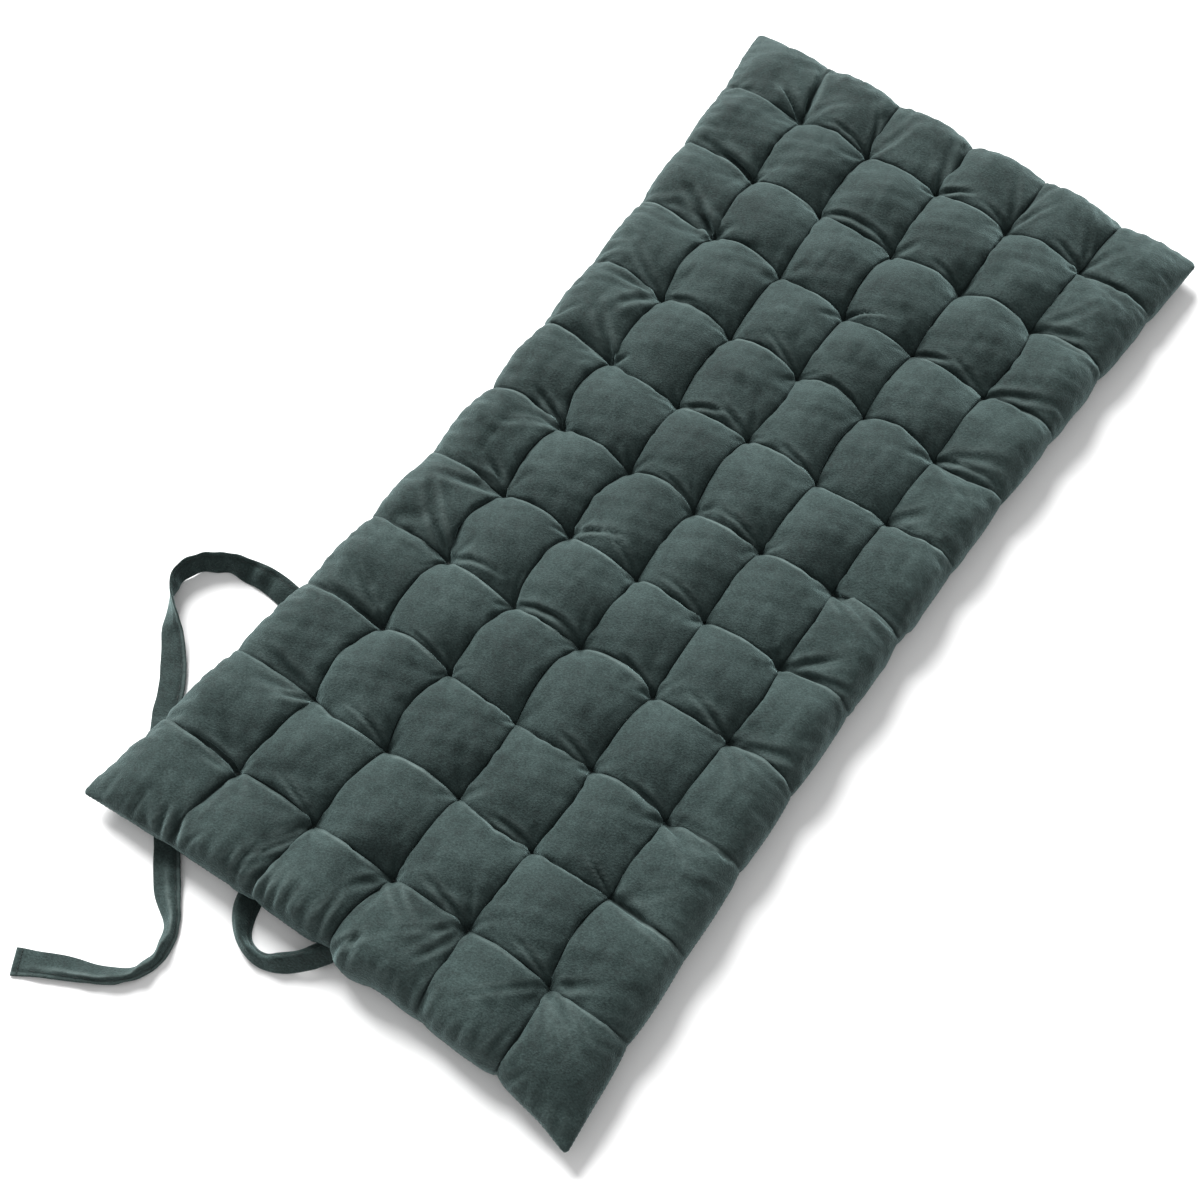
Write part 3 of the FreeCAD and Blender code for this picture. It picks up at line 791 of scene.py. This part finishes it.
# Painted sheen: a highlight painted pale along its ridges and along the roll outside the topstitching,
# where light catches the nap.
steep = np.minimum(1, RIDGE_SHEEN * np.maximum(np.sin(plain_fall), np.sin(stitched_fall)))
from_ridge = ring_across[None, :] - ridge_place[:, None]
on_ridge = np.exp(-((from_ridge / RIDGE_MARK) ** 2)) * steep[:, None]
on_roll = ROLL_SHEEN * np.exp(-(((ring_across - ROLL_PLACE) / ROLL_MARK) ** 2))
tie_painted_sheen = np.maximum(on_ridge, on_roll[None, :]) * (np.sin(ring_angle) > -0.2)
painted_sheen_values = tie.data.attributes.new("painted_sheen", "FLOAT", "POINT").data
painted_sheen_values.foreach_set("value", tie_painted_sheen.ravel())

# ----------------------------------------------------------------- stitches

THREAD = 0.0007
# A stitch has this many steps of its line, and its middle stands out and its ends sink in.
STITCH_STEPS = 4
STITCH_ARCH = np.array([-0.00035, 0.00028, 0.00040, 0.00028, -0.00035])
FIRST_STITCH, TACK_START = 0.012, 0.003
# A tube's ends are this share as thick.
THREAD_TAPER = 0.45
# Where the rows of hem and tack stitches start and end across the tie, their spacing and
# a hem stitch's length, from -1 to 1, and the hem's thickness as a share of the tie's.
HEM_ROW, HEM_STITCH, HEM_THICKNESS = (-0.86, 0.80, 0.24), 0.19, 0.7
TACK_ROW = (-0.86, 0.90, 0.09)
# The seam's stitches are flatter, and lie in the nip between the covers.
SEAM_STEP, SEAM_FLATNESS, SEAM_SINKING = 0.001, 0.5, 0.0003


def thread_tubes(paths, radius, sides=6):
    """Closed tubes along short paths, tapered at both ends."""
    points, faces = [], []
    for path in paths:
        path = np.asarray(path)
        heading = np.gradient(path, axis=0)
        heading /= np.linalg.norm(heading, axis=1, keepdims=True)
        guide = np.eye(3)[np.argmin(np.abs(heading).max(axis=0))]
        first = np.cross(heading, guide)
        first /= np.linalg.norm(first, axis=1, keepdims=True)
        second = np.cross(heading, first)
        base = len(points)
        count = len(path)
        for step in range(count):
            size = radius * (THREAD_TAPER if step in (0, count - 1) else 1.0)
            for k in range(sides):
                turn = 2 * math.pi * k / sides
                offset = first[step] * math.cos(turn) + second[step] * math.sin(turn)
                points.append(path[step] + offset * size)
        for step in range(count - 1):
            for k in range(sides):
                low, high = base + step * sides, base + (step + 1) * sides
                following = (k + 1) % sides
                faces.append((low + k, low + following, high + following, high + k))
        faces.append(tuple(base + k for k in reversed(range(sides))))
        faces.append(tuple(base + (count - 1) * sides + k for k in range(sides)))
    return np.array(points), faces


def stitch_paths():
    """The topstitching's stitches, on both faces of the tie."""
    stitch = 1 - STITCH_INSET / half_tie
    paths = []
    first, last = round(FIRST_STITCH / TIE_STEP), len(tie_run) - 1 - round(HEM_INSET / TIE_STEP)
    for start in range(first, last - STITCH_STEPS, STITCH_STEPS + 1):
        index = np.arange(start, start + STITCH_STEPS + 1)
        for face in (1, -1):
            lift = tie_thickness(np.array([stitch]))[0] + STITCH_ARCH
            paths.append(tie_point(index, np.full(len(index), stitch), face * lift))
    return paths


def hem_paths():
    """The stitches across the tie's free end."""
    index = len(tie_run) - 1 - round(HEM_INSET / TIE_STEP)
    paths = []
    for start in np.arange(*HEM_ROW):
        across = np.linspace(start, start + HEM_STITCH, len(STITCH_ARCH))
        for face in (1, -1):
            lift = HEM_THICKNESS * tie_thickness(across) + STITCH_ARCH
            paths.append(tie_point(np.full(len(across), index), across, face * lift))
    return paths


def tack_paths():
    """Close stitches that hold the tie's root in the seam."""
    start = round(TACK_START / TIE_STEP)
    index = np.arange(start, start + len(STITCH_ARCH))
    paths = []
    for across in np.arange(*TACK_ROW):
        for face in (1, -1):
            place = np.full(len(index), across)
            paths.append(tie_point(index, place, face * (tie_thickness(place) + STITCH_ARCH)))
    return paths


def seam_paths():
    """The stitches all round the pad's seam."""
    closed = np.append(seam, seam[0])
    run, line, out = evenly(SEAM_STEP, settled[closed], outward[closed])
    out /= np.linalg.norm(out, axis=1, keepdims=True)
    arch = SEAM_FLATNESS * STITCH_ARCH[:, None] - SEAM_SINKING
    paths = []
    for start in range(0, len(run) - 1 - STITCH_STEPS, STITCH_STEPS + 1):
        index = np.arange(start, start + STITCH_STEPS + 1)
        paths.append(line[index] + out[index] * arch)
    return paths


topstitch = new_mesh("tie_stitching", *thread_tubes(stitch_paths(), THREAD / 2))
hem = new_mesh("tie_hem_stitches", *thread_tubes(hem_paths(), THREAD / 2))
tack = new_mesh("tie_root_tack", *thread_tubes(tack_paths(), THREAD / 2))
seam_stitches = new_mesh("seam_stitches", *thread_tubes(seam_paths(), THREAD / 2))

# -------------------------------------------------------------- tuft threads

TUFT_SPAN = 0.007
TUFT_THREAD = 0.0012
# The twine runs through the pad this far beside the tuft's middle.
TUFT_ASIDE = 0.0008
# Where the points of a strand are along its span, how high, and how the strands cross.
STRAND_PLACES = np.array([-0.5, -0.42, -0.22, 0.0, 0.22, 0.42, 0.5]) * TUFT_SPAN
STRAND_ARCH = np.array([-1.6, -0.2, 0.5, 0.7, 0.5, -0.2, -1.6]) * 0.001
STRAND_TURNS = (-0.35, 0.0, 0.32)


def tuft_paths(row, top, bottom):
    """The strands of one row's tufts, over the top, under the bottom and through."""
    paths = []
    for column in range(1, CELLS_X):
        upper, lower = top[column, row], bottom[column, row]
        for turn in STRAND_TURNS:
            spread = STRAND_PLACES[:, None] * [math.cos(turn), math.sin(turn), 0.0]
            arch = STRAND_ARCH[:, None] * [0, 0, 1]
            paths.append(upper + spread + arch)
            paths.append(lower + spread - arch)
        middle = np.linspace(upper, lower, 5)
        paths.append(middle + [TUFT_ASIDE, 0, 0])
    return paths


grid_shape = (CELLS_X * TOP_STEPS + 1, CELLS_Y * TOP_STEPS + 1, 3)
top_grid = settled[:top_count].reshape(grid_shape)[::TOP_STEPS, ::TOP_STEPS]
low_grid = settled[low_index].reshape(*low_index.shape, 3)[::LOW_STEPS, ::LOW_STEPS]
tuft_rows = []
for row in range(1, CELLS_Y):
    made = new_mesh(
        f"tuft_stitches_{row:02d}",
        *thread_tubes(tuft_paths(row, top_grid, low_grid), TUFT_THREAD / 2),
    )
    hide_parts(f"tuft_row_{row:02d}")
    tuft_rows.append(made)

# ----------------------------------------------- the underside over the tie

# The underside rises over the tie, from this far beside it.
LIFT_OVER_TIE, LIFT_MARGIN, LIFT_FADE = 0.0045, 0.004, 0.012
low_places = settled[top_count:]
gap_to_tie = np.array(
    [np.min(np.hypot(tie_line[:, 0] - x, tie_line[:, 1] - y)) for x, y in low_places[:, :2]]
)
away = np.clip((gap_to_tie - half_tie - LIFT_MARGIN) / LIFT_FADE, 0, 1)
lift = LIFT_OVER_TIE * (1 - away * away * (3 - 2 * away))
low_places[:, 2] = np.maximum(low_places[:, 2], lift)
pad.data.vertices.foreach_set("co", settled.ravel())

# ---------------------------------------------------------------- materials


class Shader:
    """A material's node tree, with short ways to add and join nodes."""

    def __init__(self, name):
        self.material = bpy.data.materials.new(name)
        self.material.use_nodes = True
        self.tree = self.material.node_tree
        self.surface = self.tree.nodes["Principled BSDF"]

    def node(self, kind, inputs=None, **settings):
        made = self.tree.nodes.new(kind)
        for name, value in settings.items():
            setattr(made, name, value)
        for socket, value in (inputs or {}).items():
            if isinstance(value, bpy.types.NodeSocket):
                self.tree.links.new(value, made.inputs[socket])
            else:
                made.inputs[socket].default_value = value
        return made

    def place(self, stretch=(1, 1, 1), turn=0.0):
        where = self.node("ShaderNodeTexCoord").outputs["Object"]
        mapped = self.node("ShaderNodeMapping", {"Vector": where, "Scale": stretch})
        mapped.inputs["Rotation"].default_value = (0, 0, turn)
        return mapped.outputs["Vector"]

    def noise(self, where, scale, detail=3.0, roughness=0.5):
        inputs = {"Vector": where, "Scale": scale, "Detail": detail, "Roughness": roughness}
        return self.node("ShaderNodeTexNoise", inputs).outputs["Fac"]

    def ramp(self, value, *stops):
        """A colour between the two stops, each a place and a colour."""
        made = self.node("ShaderNodeValToRGB", {"Fac": value})
        for stop, (place, colour) in zip(made.color_ramp.elements, stops):
            stop.position = place
            stop.color = (*colour, 1)
        return made.outputs["Color"]

    def math(self, operation, first, second=0.5, third=0.0, clamp=False):
        inputs = {0: first, 1: second, 2: third}
        made = self.node("ShaderNodeMath", inputs, operation=operation, use_clamp=clamp)
        return made.outputs[0]

    def mix(self, factor, first, colour):
        """The first colour, a node's, turned into the second one, a constant."""
        inputs = {0: factor, 6: first, 7: (*colour, 1)}
        return self.node("ShaderNodeMix", inputs, data_type="RGBA").outputs[2]

    def bump(self, height, distance, strength=1.0, normal=None):
        made = self.node(
            "ShaderNodeBump", {"Height": height, "Distance": distance, "Strength": strength}
        )
        if normal is not None:
            self.tree.links.new(normal, made.inputs["Normal"])
        return made.outputs["Normal"]

    def finish(self, **inputs):
        for name, value in inputs.items():
            socket = self.surface.inputs[name.replace("_", " ")]
            if isinstance(value, bpy.types.NodeSocket):
                self.tree.links.new(value, socket)
            else:
                socket.default_value = value
        return self.material


# The darkest tone of the nap, also used as the colour of the painted shade in the creases.
VELVET_DEEP = (0.0062, 0.0132, 0.0124)
VELVET_MID = (0.0155, 0.0285, 0.0268)
VELVET_PALE = (0.0320, 0.0520, 0.0495)
# Pale painted sheen highlight for crease shoulders, fold ridges and the tie's ridges.
VELVET_SHEEN_HIGHLIGHT = (0.1000, 0.1340, 0.1290)
THREAD_PLY_SHADE = (0.0070, 0.0120, 0.0112)
THREAD_PALE = (0.0180, 0.0270, 0.0255)
FLOOR_COLOUR = (0.92, 0.92, 0.92)


def velvet_material(name):
    """Short cotton velvet: brushed patches in the nap, a fine pile and crushed marks, with a painted
    sheen highlight on shoulders and ridges and painted shade in the creases.
    """
    made = Shader(name)
    where = made.place()
    patches = made.noise(made.place((1, 1, 1), 0.6), 14, 4, 0.6)
    brushed = made.noise(made.place((1, 1.3, 1), 0.9), 110, 5, 0.7)
    pile = made.noise(made.place((1, 1.5, 1), -0.5), 430, 3, 0.65)
    tone = made.math("MULTIPLY_ADD", patches, 0.55, made.math("MULTIPLY", brushed, 0.50))
    tone = made.math("MULTIPLY_ADD", pile, 0.85, tone)
    colour = made.ramp(tone, (0.76, VELVET_DEEP), (0.95, VELVET_MID))
    colour = made.mix(made.math("MULTIPLY_ADD", tone, 4.5, -4.3, clamp=True), colour, VELVET_PALE)
    crease = made.node("ShaderNodeAttribute", attribute_name="crease").outputs["Fac"]
    painted_sheen = made.node("ShaderNodeAttribute", attribute_name="painted_sheen").outputs["Fac"]
    # Painted sheen highlight, broken up by the brushed nap.
    broken_sheen = made.math("MULTIPLY", painted_sheen, made.math("MULTIPLY", brushed, 1.7), clamp=True)
    colour = made.mix(broken_sheen, colour, VELVET_SHEEN_HIGHLIGHT)
    # Painted shade at the bottom of the creases, at the topstitching and at the hem.
    colour = made.mix(made.math("MULTIPLY", crease, 0.8), colour, VELVET_DEEP)
    crushed = made.noise(where, 120, 4, 0.65)
    normal = made.bump(crushed, 0.0008, 0.5)
    normal = made.bump(pile, 0.0012, 0.8, normal)
    rough = made.node(
        "ShaderNodeMapRange", {"Value": brushed, "To Min": 0.72, "To Max": 0.98}
    ).outputs["Result"]
    made.finish(
        Base_Color=colour,
        Roughness=rough,
        Normal=normal,
        Specular_IOR_Level=0.25,
        Sheen_Weight=0.42,
        Sheen_Roughness=0.38,
        Sheen_Tint=(0.55, 0.80, 0.79, 1),
    )
    return made.material


def floor_material(name):
    """A plain pale floor."""
    return Shader(name).finish(Base_Color=(*FLOOR_COLOUR, 1), Roughness=0.9)


def thread_material(name):
    """Twisted sewing thread, with painted shade a little darker between its plies, where the ply bump is
    low.
    """
    made = Shader(name)
    plies = made.noise(made.place((1, 1, 1), 0.3), 1600, 2, 0.6)
    colour = made.ramp(plies, (0.35, THREAD_PLY_SHADE), (0.65, THREAD_PALE))
    return made.finish(Base_Color=colour, Roughness=0.7, Normal=made.bump(plies, 0.0002, 0.6))


velvet = velvet_material("velvet")
thread = thread_material("thread")
for piece in (pad, tie):
    piece.data.materials.append(velvet)
for piece in (topstitch, hem, tack, seam_stitches, *tuft_rows):
    piece.data.materials.append(thread)
for piece in (pad, tie, topstitch, hem, tack, seam_stitches, *tuft_rows):
    piece.data.shade_smooth()
    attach(piece, "root")

# ----------------------------------------------------------- floor and light

FLOOR_REACH = 8
KEY_TOWARD, KEY_STRENGTH, KEY_SOFTNESS = (-0.74, 0.47, 0.60), 8.0, 32
SKY_STRENGTH = 0.62

corners = FLOOR_REACH * np.array([(-1, -1, 0), (1, -1, 0), (1, 1, 0), (-1, 1, 0)])
floor = new_mesh("floor", corners, [(0, 1, 2, 3)])
floor.data.materials.append(floor_material("floor"))

world = bpy.data.worlds.new("world")
scene.world = world
world.use_nodes = True
world.node_tree.nodes["Background"].inputs["Color"].default_value = (1, 1, 1, 1)
world.node_tree.nodes["Background"].inputs["Strength"].default_value = SKY_STRENGTH

key = bpy.data.objects.new("key", bpy.data.lights.new("key", "SUN"))
scene.collection.objects.link(key)
key.data.energy = KEY_STRENGTH
key.data.angle = math.radians(KEY_SOFTNESS)
key.rotation_mode = "QUATERNION"
key.rotation_quaternion = (-Vector(KEY_TOWARD)).to_track_quat("-Z", "Y")
scene.view_settings.view_transform = "Standard"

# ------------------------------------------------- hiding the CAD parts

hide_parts("cover_top", "cover_bottom", "wadding_upper", "wadding_lower")
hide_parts("seam_thread")
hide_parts("tie_strap")
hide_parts("tie_topstitch")
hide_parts("tie_end_hem")
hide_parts("tie_anchor_tack")
